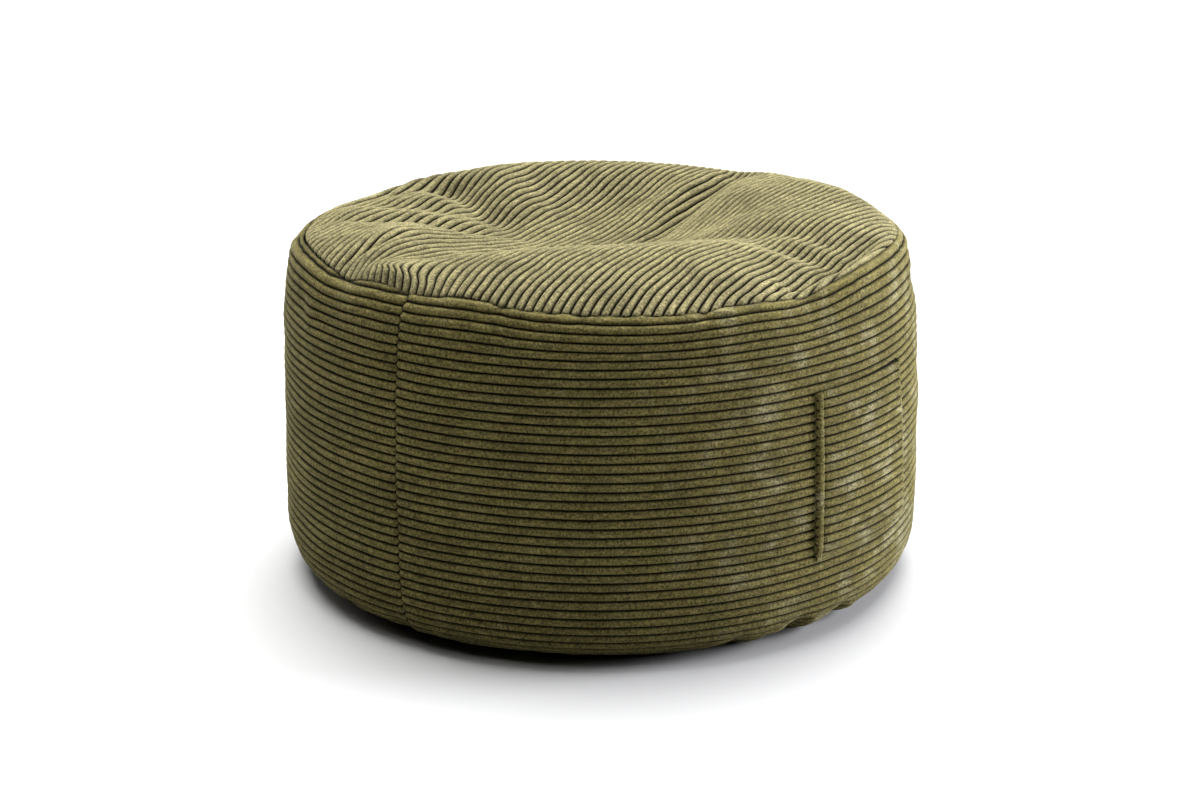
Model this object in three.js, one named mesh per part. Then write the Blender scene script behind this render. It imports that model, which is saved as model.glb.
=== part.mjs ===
// A round bean bag pouf sewn from wide-wale corduroy, resting on the floor.
//
// The cover is cut as a top panel, one long side band and a base panel, with a patch
// pocket sewn to the side band. The bag is full of loose beads, so the three panels and
// what fills them are three filled solids that meet at the real seams.
//
// Millimetres, +Z up. The origin is the middle of the base, on the floor. The pocket
// faces +X, a little towards -Y, and the side band's closing seam faces -Y. Angles are
// counted in degrees from +X towards +Y.

import * as THREE from 'three';

// ---------------------------------------------------------------- driving sizes

const CLEARANCE = 0.3; // between two sewn pieces
const BAND_COLUMNS = 76; // facets round the side band and the base
const CLOSING_SEAM_COLUMNS = [-92, -91, -89, -88]; // more of them beside the closing seam
const TOP_COLUMNS = 126; // facets round the creased top panel

const SEAM_RADIUS = 294; // where the top panel is sewn to the side band
const MEAN_SEAM_HEIGHT = 338;
const CROWN_RISE = 16; // over the whole round
const CROWN_SQUARENESS = 4; // higher keeps the crown flat further out
const SHOULDER_RISE = 9; // in the plump roll just inside the seam
const SHOULDER_SQUARENESS = 16;
const SEAM_ROLL = 1; // the top panel's first turn up out of the seam
const EDGE_FADE = 0.08; // share of the radius over which folds die out at the seam

const LIP_RADIUS = 297; // the side band ends here, however high the seam stands
const DISH_RADIUS = 292; // the side band's upper face is a shallow dish
const DISH_HEIGHT = 296;

const BASE_RADIUS = 268;
const BASE_THICKNESS = 3;
const BASE_ROUNDING = 1;
const BASE_TURN = 0.6; // the side band turns under this far above the floor

const POCKET_TURN = -1.8; // the middle of the pocket, round the bag from +X
const POCKET_HALF_ANGLE = 13.2;
const POCKET_BOTTOM = 83;
const POCKET_TOP = 249;
const POCKET_THICKNESS = 2;
const POCKET_CLEARANCE = 0.45; // a little more, as its facets lie across the band's corners
const POCKET_GAPE = 7.6; // how far the mouth stands off the side band
const POCKET_COLUMNS = 14;
const POCKET_ROWS = 8;

// The side band's outline: how far it stands from the axis at each height.
const SIDE_OUTLINE = [
  { height: 0.6, radius: 268.6 },
  { height: 2, radius: 278 },
  { height: 8, radius: 291 },
  { height: 17, radius: 305 },
  { height: 30, radius: 314.5 },
  { height: 55, radius: 320 },
  { height: 100, radius: 320 },
  { height: 170, radius: 319 },
  { height: 240, radius: 315.5 },
  { height: 290, radius: 312.5 },
  { height: 318, radius: 309.5 },
  { height: 330, radius: 305 },
  { height: 340, radius: 301 },
  { height: 352, radius: 297 },
];

// The top seam rises and dips round the bag as the beads push it about.
const TOP_SEAM = [
  { angle: -178, height: 336 },
  { angle: -161, height: 337.5 },
  { angle: -146, height: 336.5 },
  { angle: -138, height: 339.5 },
  { angle: -126, height: 343 },
  { angle: -115, height: 340 },
  { angle: -106.5, height: 334 },
  { angle: -101, height: 340 },
  { angle: -95, height: 341 },
  { angle: -90, height: 337.5 },
  { angle: -84, height: 339 },
  { angle: -78.5, height: 342.5 },
  { angle: -74, height: 340.5 },
  { angle: -69, height: 336 },
  { angle: -62, height: 334 },
  { angle: -47, height: 331.5 },
  { angle: -34.5, height: 331.5 },
  { angle: -30, height: 335 },
  { angle: -21, height: 335 },
  { angle: -15, height: 332.5 },
  { angle: -9.5, height: 332 },
  { angle: -3, height: 342 },
  { angle: 3, height: 343 },
  { angle: 13, height: 349 },
  { angle: 22.5, height: 346 },
  { angle: 37, height: 342 },
  { angle: 48, height: 340 },
  { angle: 62, height: 340 },
  { angle: 85, height: 345 },
  { angle: 97, height: 341 },
  { angle: 112, height: 342 },
  { angle: 127, height: 343 },
  { angle: 147, height: 343 },
  { angle: 157, height: 340 },
  { angle: 168, height: 341.5 },
];

// Soft troughs (falling) and ridges (rising) in the top panel. Each is an oval
// centred on x, y, with its long axis turned to `angle`; `steepness` 2 is a plain
// soft fold, and 3 is a dip with a flatter floor and steeper banks.
const TOP_FOLDS = [
  { name: 'seat hollow', x: -37, y: 25, angle: 37, length: 150, width: 138, rise: -50, steepness: 3 },
  { name: 'back dip', x: -122, y: 146, angle: 37, length: 210, width: 62, rise: -19, steepness: 2 },
  { name: 'left slump', x: -220, y: -90, angle: 127, length: 140, width: 100, rise: -9, steepness: 2 },
  { name: 'right slump', x: 228, y: 22, angle: 7, length: 100, width: 60, rise: -13, steepness: 2 },
  { name: 'front slope', x: -41, y: -137, angle: 57, length: 75, width: 60, rise: -17, steepness: 2 },
  { name: 'front valley', x: -34, y: -213, angle: 82, length: 45, width: 24, rise: -9, steepness: 2 },
  { name: 'left lobe', x: -104, y: -192, angle: 111, length: 70, width: 28, rise: 9, steepness: 2 },
  { name: 'left crease', x: -98, y: -231, angle: 87, length: 48, width: 10, rise: -6, steepness: 2 },
  { name: 'first left trough', x: -164, y: -82, angle: 57, length: 80, width: 16, rise: -11, steepness: 2 },
  { name: 'second left trough', x: -203, y: -21, angle: 45, length: 85, width: 24, rise: -10, steepness: 2 },
  { name: 'back left trough', x: -219, y: 42, angle: 162, length: 100, width: 22, rise: -12, steepness: 2 },
  { name: 'back left bank', x: -211, y: 98, angle: 157, length: 70, width: 28, rise: 9, steepness: 2 },
  { name: 'rim notch trough', x: -4, y: 172, angle: 100, length: 95, width: 18, rise: -14, steepness: 2 },
  { name: 'rim notch bank', x: -45, y: 179, angle: 87, length: 70, width: 14, rise: 5, steepness: 2 },
  { name: 'right crest', x: 230, y: 34, angle: -6, length: 70, width: 13, rise: 4, steepness: 2 },
  { name: 'right trough', x: 222, y: 8, angle: -3, length: 62, width: 12, rise: -3.5, steepness: 2 },
  { name: 'front right crest', x: 216, y: -18, angle: 0, length: 50, width: 13, rise: 3, steepness: 2 },
  { name: 'right valley', x: 156, y: 42, angle: 22, length: 70, width: 24, rise: -9, steepness: 2 },
  { name: 'right swell', x: 119, y: 233, angle: 153, length: 115, width: 30, rise: 7, steepness: 2 },
  { name: 'left swell', x: -231, y: -123, angle: 118, length: 60, width: 28, rise: 6, steepness: 2 },
];

// Dents in the side band: the closing seam pulls it in, and slack cloth sinks near
// the floor. `reach` is in degrees round the bag and `spread` in millimetres of height.
// A depth below 0 is a swelling.
const SIDE_DENTS = [
  { name: 'closing seam', angle: -90, reach: 1.6, height: 170, spread: 220, depth: 2.5 },
  { name: 'slack by the seam', angle: -84, reach: 9, height: 40, spread: 45, depth: 2.5 },
  { name: 'low pucker', angle: -36, reach: 5, height: 14, spread: 22, depth: 3 },
  { name: 'second low pucker', angle: -22, reach: 4, height: 18, spread: 24, depth: 3 },
  { name: 'back slack', angle: 130, reach: 12, height: 60, spread: 60, depth: 3 },
  { name: 'right lean', angle: 37, reach: 45, height: 303, spread: 24, depth: 3.5 },
  { name: 'full right shoulder', angle: 45, reach: 30, height: 338, spread: 12, depth: -4.5 },
  { name: 'full left shoulder', angle: -143, reach: 35, height: 336, spread: 18, depth: -5.5 },
];

// Heights of the side band's rings below the upper part, which follows the top seam.
const SIDE_RINGS = [2, 7, 15, 27, 45, 78, 120, 165, 210, 252];
const UPPER_RINGS = [0.42, 0.7, 0.86, 0.94, 1];

// Rings of the top panel as shares of its radius, from the seam to the middle.
const TOP_RINGS = [
  1, 0.99, 0.965, 0.93, 0.89, 0.845, 0.8, 0.75, 0.7, 0.65, 0.6,
  0.55, 0.5, 0.45, 0.4, 0.34, 0.28, 0.22, 0.16, 0.1, 0.04,
];

// ---------------------------------------------------------------- helpers

const radians = THREE.MathUtils.degToRad;

// A smooth curve through a table's rows, read at `at`. Slopes come from the
// neighbouring rows, as in a Catmull-Rom spline with uneven steps.
function smoothRead(rows, key, value, at) {
  let i = 1;
  while (i < rows.length - 1 && rows[i][key] < at) i += 1;
  const slope = (j) => {
    const before = rows[Math.max(j - 1, 0)];
    const after = rows[Math.min(j + 1, rows.length - 1)];
    return (after[value] - before[value]) / (after[key] - before[key]);
  };
  const from = rows[i - 1];
  const to = rows[i];
  const step = to[key] - from[key];
  const t = THREE.MathUtils.clamp((at - from[key]) / step, 0, 1);
  const hermiteStart = (1 + 2 * t) * (1 - t) ** 2;
  const hermiteEnd = t * t * (3 - 2 * t);
  const slopeStart = t * (1 - t) ** 2 * step;
  const slopeEnd = t * t * (t - 1) * step;
  return from[value] * hermiteStart + to[value] * hermiteEnd
    + slope(i - 1) * slopeStart + slope(i) * slopeEnd;
}

// The seam table runs once round the bag, so it is repeated a turn before and after.
const SEAM_AROUND = [-360, 0, 360].flatMap((turn) =>
  TOP_SEAM.map((row) => ({ angle: row.angle + turn, height: row.height })));

function seamHeight(angle) {
  return smoothRead(SEAM_AROUND, 'angle', 'height', angle);
}

function sideRadius(height) {
  return smoothRead(SIDE_OUTLINE, 'height', 'radius', height);
}

function angleBetween(a, b) {
  return THREE.MathUtils.euclideanModulo(a - b + 180, 360) - 180;
}

function dentDepth(angle, height) {
  return SIDE_DENTS.reduce((sum, dent) => {
    const across = angleBetween(angle, dent.angle) / dent.reach;
    const up = (height - dent.height) / dent.spread;
    return sum + dent.depth * Math.exp(-across * across - up * up);
  }, 0);
}

function foldRise(x, y) {
  return TOP_FOLDS.reduce((sum, fold) => {
    const turn = radians(fold.angle);
    const along = (x - fold.x) * Math.cos(turn) + (y - fold.y) * Math.sin(turn);
    const across = (y - fold.y) * Math.cos(turn) - (x - fold.x) * Math.sin(turn);
    const reach = Math.hypot(along / fold.length, across / fold.width);
    return sum + fold.rise * Math.exp(-(reach ** fold.steepness));
  }, 0);
}

// Height of the top panel's outer face at a share of its radius and an angle.
function topHeight(share, angle) {
  const x = SEAM_RADIUS * share * Math.cos(radians(angle));
  const y = SEAM_RADIUS * share * Math.sin(radians(angle));
  const seam = (seamHeight(angle) - MEAN_SEAM_HEIGHT) * share ** 4;
  const crown = CROWN_RISE * (1 - share ** CROWN_SQUARENESS);
  const shoulder = SHOULDER_RISE * (1 - share ** SHOULDER_SQUARENESS);
  const fade = THREE.MathUtils.smoothstep((1 - share) / EDGE_FADE, 0, 1);
  return MEAN_SEAM_HEIGHT + seam + SEAM_ROLL + crown + shoulder + foldRise(x, y) * fade;
}

function evenAngles(count) {
  return Array.from({ length: count }, (_, i) => (i * 360) / count - 180);
}

const BAND_ANGLES = [...evenAngles(BAND_COLUMNS), ...CLOSING_SEAM_COLUMNS].sort((a, b) => a - b);
const TOP_ANGLES = evenAngles(TOP_COLUMNS);

// A ring of flat facets runs this far inside the circle through its corners.
const BAND_SAGITTA = DISH_RADIUS * (1 - Math.cos(Math.PI / BAND_COLUMNS));

// One ring of points round the bag.
function around(angles, radiusAt, heightAt) {
  return angles.map((angle) => [
    radiusAt(angle) * Math.cos(radians(angle)),
    radiusAt(angle) * Math.sin(radians(angle)),
    heightAt(angle),
  ]);
}

function geometryFrom(points, triangles) {
  const geometry = new THREE.BufferGeometry();
  geometry.setAttribute('position', new THREE.Float32BufferAttribute(points.flat(), 3));
  geometry.setIndex(triangles.flat());
  geometry.computeVertexNormals();
  return geometry;
}

// A closed body from rings stacked between a bottom and a top middle point.
// Rings run anticlockwise seen from above, from the bottom middle outwards and up.
function ringBody(bottomMiddle, rings, topMiddle) {
  const points = [bottomMiddle, ...rings.flat(), topMiddle];
  const size = rings[0].length;
  const last = points.length - 1;
  const at = (ring, i) => 1 + ring * size + (i % size);
  const triangles = [];
  for (let i = 0; i < size; i += 1) {
    triangles.push([0, at(0, i + 1), at(0, i)]);
    triangles.push([last, at(rings.length - 1, i), at(rings.length - 1, i + 1)]);
    for (let ring = 0; ring < rings.length - 1; ring += 1) {
      triangles.push([at(ring, i), at(ring, i + 1), at(ring + 1, i + 1)]);
      triangles.push([at(ring, i), at(ring + 1, i + 1), at(ring + 1, i)]);
    }
  }
  return geometryFrom(points, triangles);
}

// A closed sheet between an outer and an inner grid of points, rows then columns.
function sheetBody(outer, inner) {
  const rows = outer.length;
  const columns = outer[0].length;
  const points = [...outer.flat(), ...inner.flat()];
  const out = (r, c) => r * columns + c;
  const back = (r, c) => rows * columns + r * columns + c;
  const triangles = [];
  const quad = (a, b, c, d) => triangles.push([a, b, c], [a, c, d]);
  for (let r = 0; r < rows - 1; r += 1) {
    for (let c = 0; c < columns - 1; c += 1) {
      quad(out(r, c), out(r, c + 1), out(r + 1, c + 1), out(r + 1, c));
      quad(back(r, c), back(r + 1, c), back(r + 1, c + 1), back(r, c + 1));
    }
    quad(out(r, 0), out(r + 1, 0), back(r + 1, 0), back(r, 0));
    quad(out(r + 1, columns - 1), out(r, columns - 1), back(r, columns - 1), back(r + 1, columns - 1));
  }
  for (let c = 0; c < columns - 1; c += 1) {
    quad(out(0, c + 1), out(0, c), back(0, c), back(0, c + 1));
    quad(out(rows - 1, c), out(rows - 1, c + 1), back(rows - 1, c + 1), back(rows - 1, c));
  }
  return geometryFrom(points, triangles);
}

// ---------------------------------------------------------------- pieces

// The side band fills the bag from the base to a shallow dish under the top panel.
function sideBand() {
  const lower = SIDE_RINGS.map((height) =>
    around(BAND_ANGLES, (angle) => sideRadius(height) - dentDepth(angle, height), () => height));
  const lastLower = SIDE_RINGS.at(-1);
  const upper = UPPER_RINGS.map((share) => {
    const heightAt = (angle) => lastLower + share * (seamHeight(angle) - lastLower);
    const toLip = (angle) => (LIP_RADIUS - sideRadius(seamHeight(angle))) * share ** 3;
    const radiusAt = (angle) =>
      sideRadius(heightAt(angle)) + toLip(angle) - dentDepth(angle, heightAt(angle));
    return around(BAND_ANGLES, radiusAt, heightAt);
  });
  const underside = BASE_THICKNESS + CLEARANCE;
  const recess = around(BAND_ANGLES, () => BASE_RADIUS + CLEARANCE, () => underside);
  const turnedEdge = around(BAND_ANGLES, () => BASE_RADIUS + CLEARANCE, () => BASE_TURN);
  const seamInside = around(BAND_ANGLES, () => DISH_RADIUS, seamHeight);
  const dish = around(BAND_ANGLES, () => DISH_RADIUS, () => DISH_HEIGHT);
  return ringBody(
    [0, 0, underside],
    [recess, turnedEdge, ...lower, ...upper, seamInside, dish],
    [0, 0, DISH_HEIGHT],
  );
}

// The top panel fills the dish and rises over it in a crown, with the seat hollow.
function topPanel() {
  const underside = DISH_HEIGHT + CLEARANCE;
  const edgeRadius = DISH_RADIUS - BAND_SAGITTA - CLEARANCE;
  const foot = around(TOP_ANGLES, () => edgeRadius, () => underside);
  const sewnEdge = around(TOP_ANGLES, () => edgeRadius, seamHeight);
  const rings = TOP_RINGS.map((share) =>
    around(TOP_ANGLES, () => edgeRadius * share, (angle) => topHeight(share, angle)));
  const middle = [0, 0, topHeight(0, 0)];
  return ringBody([0, 0, underside], [foot, sewnEdge, ...rings], middle);
}

// The base panel lies flat on the floor.
function basePanel() {
  const flat = around(BAND_ANGLES, () => BASE_RADIUS - BASE_ROUNDING, () => 0);
  const edge = around(BAND_ANGLES, () => BASE_RADIUS, () => BASE_ROUNDING);
  const inside = around(BAND_ANGLES, () => BASE_RADIUS, () => BASE_THICKNESS);
  return ringBody([0, 0, 0], [flat, edge, inside], [0, 0, BASE_THICKNESS]);
}

// The patch pocket follows the side band and gapes a little at its mouth.
function pocket() {
  const grid = (lift) => Array.from({ length: POCKET_ROWS + 1 }, (_, r) => {
    const up = r / POCKET_ROWS;
    const height = THREE.MathUtils.lerp(POCKET_BOTTOM, POCKET_TOP, up);
    return Array.from({ length: POCKET_COLUMNS + 1 }, (__, c) => {
      const across = (2 * c) / POCKET_COLUMNS - 1;
      const gape = POCKET_GAPE * (1 - across ** 4) * THREE.MathUtils.smoothstep(up, 0, 1);
      const radius = sideRadius(height) + POCKET_CLEARANCE + gape + lift;
      const turn = radians(POCKET_TURN + across * POCKET_HALF_ANGLE);
      return [radius * Math.cos(turn), radius * Math.sin(turn), height];
    });
  });
  return sheetBody(grid(POCKET_THICKNESS), grid(0));
}

// ---------------------------------------------------------------- the pouf

const corduroy = { color: 0x8f8a5e, roughness: 0.95, metalness: 0 };

function piece(name, geometry, looks) {
  const mesh = new THREE.Mesh(geometry, new THREE.MeshStandardMaterial(looks));
  mesh.name = name;
  return mesh;
}

const pouf = new THREE.Group();
pouf.add(
  piece('top_panel', topPanel(), { ...corduroy, color: 0x96916a }),
  piece('side_band', sideBand(), corduroy),
  piece('base_panel', basePanel(), { ...corduroy, color: 0x4c4a38 }),
  piece('pocket', pocket(), { ...corduroy, color: 0x87825a }),
);

export default pouf;
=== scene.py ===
# %% [markdown]
# # A round bean bag pouf in wide-wale corduroy
#
# The pouf is a drum of loose beads in a sewn cover. The cover is a round top panel, one
# long side band with its ribs level, a round base panel, and a patch pocket. The CAD
# frame gives the size of each, and this script dresses them: real ribs in the mesh,
# seams that pull the cloth in, folds on the slumped top, and a napped cotton finish.
#
# A cloth simulation could drape a new cover. This one has been sat on, and its folds have
# set, so each fold is listed in a short table, where one row can be read and
# changed at a time.

# %% Load the fixed frame
import math
import time
from functools import partial

import bmesh
import bpy
import numpy as np
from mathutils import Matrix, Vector


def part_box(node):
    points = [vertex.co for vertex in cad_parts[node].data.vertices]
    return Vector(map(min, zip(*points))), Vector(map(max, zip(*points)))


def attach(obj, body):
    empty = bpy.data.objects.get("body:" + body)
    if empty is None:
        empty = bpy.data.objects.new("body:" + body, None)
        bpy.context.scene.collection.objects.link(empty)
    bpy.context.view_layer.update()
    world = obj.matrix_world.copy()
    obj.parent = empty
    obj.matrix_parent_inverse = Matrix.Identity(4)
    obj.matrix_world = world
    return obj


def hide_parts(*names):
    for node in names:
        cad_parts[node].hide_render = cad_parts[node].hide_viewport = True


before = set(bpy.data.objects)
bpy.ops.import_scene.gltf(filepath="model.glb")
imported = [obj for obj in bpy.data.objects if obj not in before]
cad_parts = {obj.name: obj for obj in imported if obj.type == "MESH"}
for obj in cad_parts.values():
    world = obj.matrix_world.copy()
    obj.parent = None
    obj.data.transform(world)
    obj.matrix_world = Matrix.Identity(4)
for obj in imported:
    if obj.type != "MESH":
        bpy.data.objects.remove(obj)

STARTED = time.perf_counter()
MM = 0.001  # shapes are worked out in millimetres and made in metres
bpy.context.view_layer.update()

# %% [markdown]
# ## The camera
#
# A pouf is seen best from a little above it. A long lens far back keeps its sides
# upright. The pocket is turned to the right and the closing seam to the left. A camera
# looks along its own -Z, so `to_track_quat` turns its +Z away from the bag.

# %% Camera
VIEW_TURN = 37.0  # degrees from the closing seam's side towards the pocket
VIEW_TILT = 17.75
VIEW_DISTANCE = 2500.0
AIM_HEIGHT = 159.0
AIM_ASIDE = -1.4
LENS = 73.35
SENSOR_WIDTH = 36.0

turn, tilt = math.radians(VIEW_TURN), math.radians(VIEW_TILT)
aim = Vector((AIM_ASIDE * math.cos(turn), AIM_ASIDE * math.sin(turn), AIM_HEIGHT)) * MM
towards = Vector((
    math.sin(turn) * math.cos(tilt),
    -math.cos(turn) * math.cos(tilt),
    math.sin(tilt),
))
camera = bpy.data.objects.new("camera", bpy.data.cameras.new("camera"))
camera.location = aim + towards * VIEW_DISTANCE * MM
camera.rotation_euler = towards.to_track_quat("Z", "Y").to_euler()
camera.data.lens = LENS
camera.data.sensor_width = SENSOR_WIDTH
camera.data.clip_end = 60.0
bpy.context.scene.collection.objects.link(camera)
bpy.context.scene.camera = camera
print("camera at", [round(v, 3) for v in camera.location])

# %% [markdown]
# ## Short tables, soft steps and bells
#
# The outline of the side, and the way the top seam wanders up and down, are kept as short
# tables. A Catmull-Rom curve passes through every row without a corner, so a few rows
# are enough for a soft shape. Three more helpers shape nearly everything else: a soft
# step from 0 to 1, a bell that fades on both sides of its middle, and uneven waves. The
# waves have a fixed seed, so the cloth is the same on each run.

# %% Tables into curves


def smooth_read(rows, at):
    """A smooth curve through rows of (key, value), read at an array of keys."""
    keys, values = np.array(rows, float).T
    last = len(keys) - 1
    before = np.maximum(np.arange(last + 1) - 1, 0)
    after = np.minimum(np.arange(last + 1) + 1, last)
    slopes = (values[after] - values[before]) / (keys[after] - keys[before])
    i = np.clip(np.searchsorted(keys, at), 1, last)
    step = keys[i] - keys[i - 1]
    t = np.clip((at - keys[i - 1]) / step, 0, 1)
    return (
        values[i - 1] * (1 + 2 * t) * (1 - t) ** 2
        + values[i] * t * t * (3 - 2 * t)
        + slopes[i - 1] * step * t * (1 - t) ** 2
        + slopes[i] * step * t * t * (t - 1)
    )


def smooth_step(low, high, at):
    t = np.clip((np.asarray(at, float) - low) / (high - low), 0, 1)
    return t * t * (3 - 2 * t)


def bell(distance, reach=1.0):
    """1 at no distance, fading to almost nothing at twice the reach."""
    return np.exp(-((distance / reach) ** 2))


def turn_between(angle, other):
    """The turn from one angle to another, from -180 to 180 degrees."""
    return (angle - other + 180) % 360 - 180


FULL_TURN = 6.283  # radians


def waves(first, second, length, seed, count=7):
    """Soft uneven waves from -1 to 1 over two coordinates, about `length` apart."""
    rng = np.random.default_rng(seed)
    total = np.zeros(np.broadcast(first, second).shape)
    for heading, stretch, start in rng.uniform((0, 0.7, 0), (FULL_TURN, 1.6, FULL_TURN), (count, 3)):
        run = first * math.cos(heading) + second * math.sin(heading)
        total += np.sin(run * FULL_TURN / (length * stretch) + start)
    return total / math.sqrt(2 * count)


# %% [markdown]
# ## The shape of the full bag
#
# Shapes are worked out in millimetres. The side has the outline of the CAD solids. The
# top seam follows theirs in finer steps, because ribs and light show a small rise that a
# plain solid can do without. The origin is the middle of the base, and angles run in
# degrees from the pocket's side (+X).

# %% Sizes of the bag
SEAM_RADIUS = 294.0
MEAN_SEAM_HEIGHT = 338.0
EDGE_RISE = 1.0  # the top panel's edge stands this far over the seam
CROWN_RISE = 16.0  # over the whole round
CROWN_SQUARENESS = 4
SHOULDER_RISE = 9.0  # in the plump roll just inside the seam
SHOULDER_SQUARENESS = 16
SEAM_SQUARENESS = 4  # the seam's ups and downs die out towards the middle
EDGE_FADE = 0.08  # folds die out over this share of the radius, at the seam
LATE_FADE = 0.16  # and over more than that at the back left
LATE_FADE_ANGLE = 156.0
LATE_FADE_REACH = 14.0
RIB_PITCH = 8.75

SIDE_OUTLINE = [  # height, radius
    (0.6, 268.6), (2, 278), (8, 291), (17, 305), (30, 314.5), (55, 320), (100, 320),
    (170, 319), (240, 315.5), (290, 312.5), (318, 309.5), (330, 305), (340, 301), (352, 297),
]
TOP_SEAM = [  # angle, height
    (-178, 336), (-161, 337.5), (-146, 336.5), (-138, 339.5), (-126, 343), (-115, 340),
    (-106.5, 334), (-101, 340), (-95, 341), (-90, 337.5), (-84, 339), (-78.5, 342.5),
    (-74, 340.5), (-69, 336), (-62, 334), (-47, 331.5), (-34.5, 331.5), (-30, 335),
    (-21, 334), (-14.5, 331), (-11, 334), (-7, 338.5), (-2, 342.5), (4, 346), (13, 348),
    (22.5, 347), (37, 342), (48, 340), (62, 340), (85, 345), (97, 341), (112, 342), (127, 343),
    (147, 343), (157, 340), (168, 341.5),
]
SEAM_AROUND = [(angle + lap, height) for lap in (-360, 0, 360) for angle, height in TOP_SEAM]


def seam_height(angle):
    return smooth_read(SEAM_AROUND, turn_between(angle, 0))


profile_height = np.linspace(SIDE_OUTLINE[0][0], SIDE_OUTLINE[-1][0], 1400)
profile_radius = smooth_read(SIDE_OUTLINE, profile_height)
profile_length = np.concatenate(
    [[0], np.cumsum(np.hypot(np.diff(profile_radius), np.diff(profile_height)))]
)
print("cloth from the base edge to the mean top seam: "
      f"{np.interp(MEAN_SEAM_HEIGHT, profile_height, profile_length):.0f} mm")

# %% [markdown]
# ## Folds on the slumped top
#
# Someone has sat on the bag and got up again. The seat is pressed in, the beads have run
# to the rim, and slack cloth lies in soft troughs that run from the seam to the hollow.
# Each fold is one oval bump or dent with its own place, turn, length, width and rise.

# %% Folds
TOP_FOLDS = [  # name, x, y, angle, length, width, rise, steepness
    ("seat hollow", -37, 25, 37, 150, 138, -50, 3),
    ("back dip", -122, 146, 37, 210, 62, -19, 2),
    ("left slump", -220, -90, 127, 140, 100, -9, 2),
    ("right slump", 228, 22, 7, 100, 60, -13, 2),
    ("front slope", -41, -137, 57, 75, 60, -17, 2),
    ("front valley", -34, -213, 82, 45, 24, -9, 2),
    ("left lobe", -104, -192, 111, 70, 28, 9, 2),
    ("left crease", -98, -231, 87, 48, 10, -6, 2),
    ("first left trough", -164, -82, 57, 80, 19, -9, 2),
    ("second left trough", -203, -21, 45, 85, 26, -9, 2),
    ("back left trough", -219, 42, 162, 100, 22, -12, 2),
    ("back left bank", -211, 98, 157, 70, 28, 9, 2),
    ("rim notch trough", -4, 172, 100, 95, 18, -14, 2),
    ("rim notch bank", -45, 179, 87, 70, 14, 5, 2),
    ("right crest", 230, 34, -6, 70, 13, 3, 2),
    ("right trough", 222, 8, -3, 62, 12, -2, 2),
    ("front right crest", 216, -18, 0, 50, 13, 2.5, 2),
    ("right valley", 156, 42, 22, 70, 26, -6, 2),
    ("small tuck", 273, -80, -16, 17, 4, 2.6, 2),
    ("right swell", 119, 233, 153, 115, 30, 7, 2),
    ("left swell", -231, -123, 118, 60, 28, 6, 2),
]


def fold_rise(x, y):
    total = np.zeros(np.shape(x))
    for _, fold_x, fold_y, angle, length, width, rise, steepness in TOP_FOLDS:
        c, s = math.cos(math.radians(angle)), math.sin(math.radians(angle))
        along = (x - fold_x) * c + (y - fold_y) * s
        across = (y - fold_y) * c - (x - fold_x) * s
        total += rise * np.exp(-np.hypot(along / length, across / width) ** steepness)
    return total


def top_height(x, y):
    share = np.clip(np.hypot(x, y) / SEAM_RADIUS, 0, 1)
    angle = np.degrees(np.arctan2(y, x))
    seam = (seam_height(angle) - MEAN_SEAM_HEIGHT) * share**SEAM_SQUARENESS
    crown = CROWN_RISE * (1 - share**CROWN_SQUARENESS)
    crown = crown + SHOULDER_RISE * (1 - share**SHOULDER_SQUARENESS)
    late = LATE_FADE * bell(angle - LATE_FADE_ANGLE, LATE_FADE_REACH)
    fade = smooth_step(0, EDGE_FADE + late, 1 - share)
    return MEAN_SEAM_HEIGHT + seam + EDGE_RISE + crown + fold_rise(x, y) * fade


print(f"seat hollow at {top_height(np.float64(-60), np.float64(20)):.0f} mm, "
      f"rim crest at {top_height(np.float64(60), np.float64(-190)):.0f} mm")

# %% [markdown]
# ## Rolls along the top seam
#
# Two stretches of the rim differ from the rest. One is stuffed full and rises steeply from
# the seam, and the other is flat where the beads have run away from it. They follow the
# seam round, so they are told by an angle and a distance from the seam, not by x and y.

# %% Seam rolls
SEAM_ROLLS = [  # name, angle, reach in degrees, rise, full this far in, fades over
    ("steep left roll", -95, 7, 7, 9, 40),
    ("flat right shoulder", -3, 20, -8, 14, 60),
]


def roll_rise(angle, gap):
    """The rise of the rolls at an angle and at a distance in from the seam."""
    total = np.zeros(np.broadcast(angle, gap).shape)
    for _, roll_angle, reach, rise, full, fade in SEAM_ROLLS:
        inside = smooth_step(0, full, gap) * bell(np.maximum(gap - full, 0), fade)
        total += rise * bell(turn_between(angle, roll_angle), reach) * inside
    return total


print("rolls along the seam:", ", ".join(row[0] for row in SEAM_ROLLS))

# %% [markdown]
# ## Making a mesh from a grid of points
#
# Each cloth piece is a grid: one direction runs along the ribs and the other crosses
# them, with more points where a rib turns down into its groove. Three numbers go with
# each point: how far `across` the ribs it lies, how far `along` them, and how flat it is
# `sewn`, from 0 to 1.

# %% Mesh helpers
RIB_STEPS = (0, 0.075, 0.2, 0.4, 0.6, 0.8, 0.925)  # shares of the pitch where points lie


def round_points(radius, turn, height):
    """Points at a radius and a height, turned about the upright axis."""
    radius, turn, height = np.broadcast_arrays(radius, turn, height)
    return np.stack([radius * np.cos(turn), radius * np.sin(turn), height], -1)


def grid_faces(rows, columns, wrap=False):
    """Four-sided faces of a grid whose points are numbered row by row."""
    across = columns if wrap else columns - 1
    r, c = np.meshgrid(np.arange(rows - 1), np.arange(across), indexing="ij")
    beside = (c + 1) % columns
    low, high = r * columns, (r + 1) * columns
    return np.stack([low + c, low + beside, high + beside, high + c], -1).reshape(-1, 4)


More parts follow.
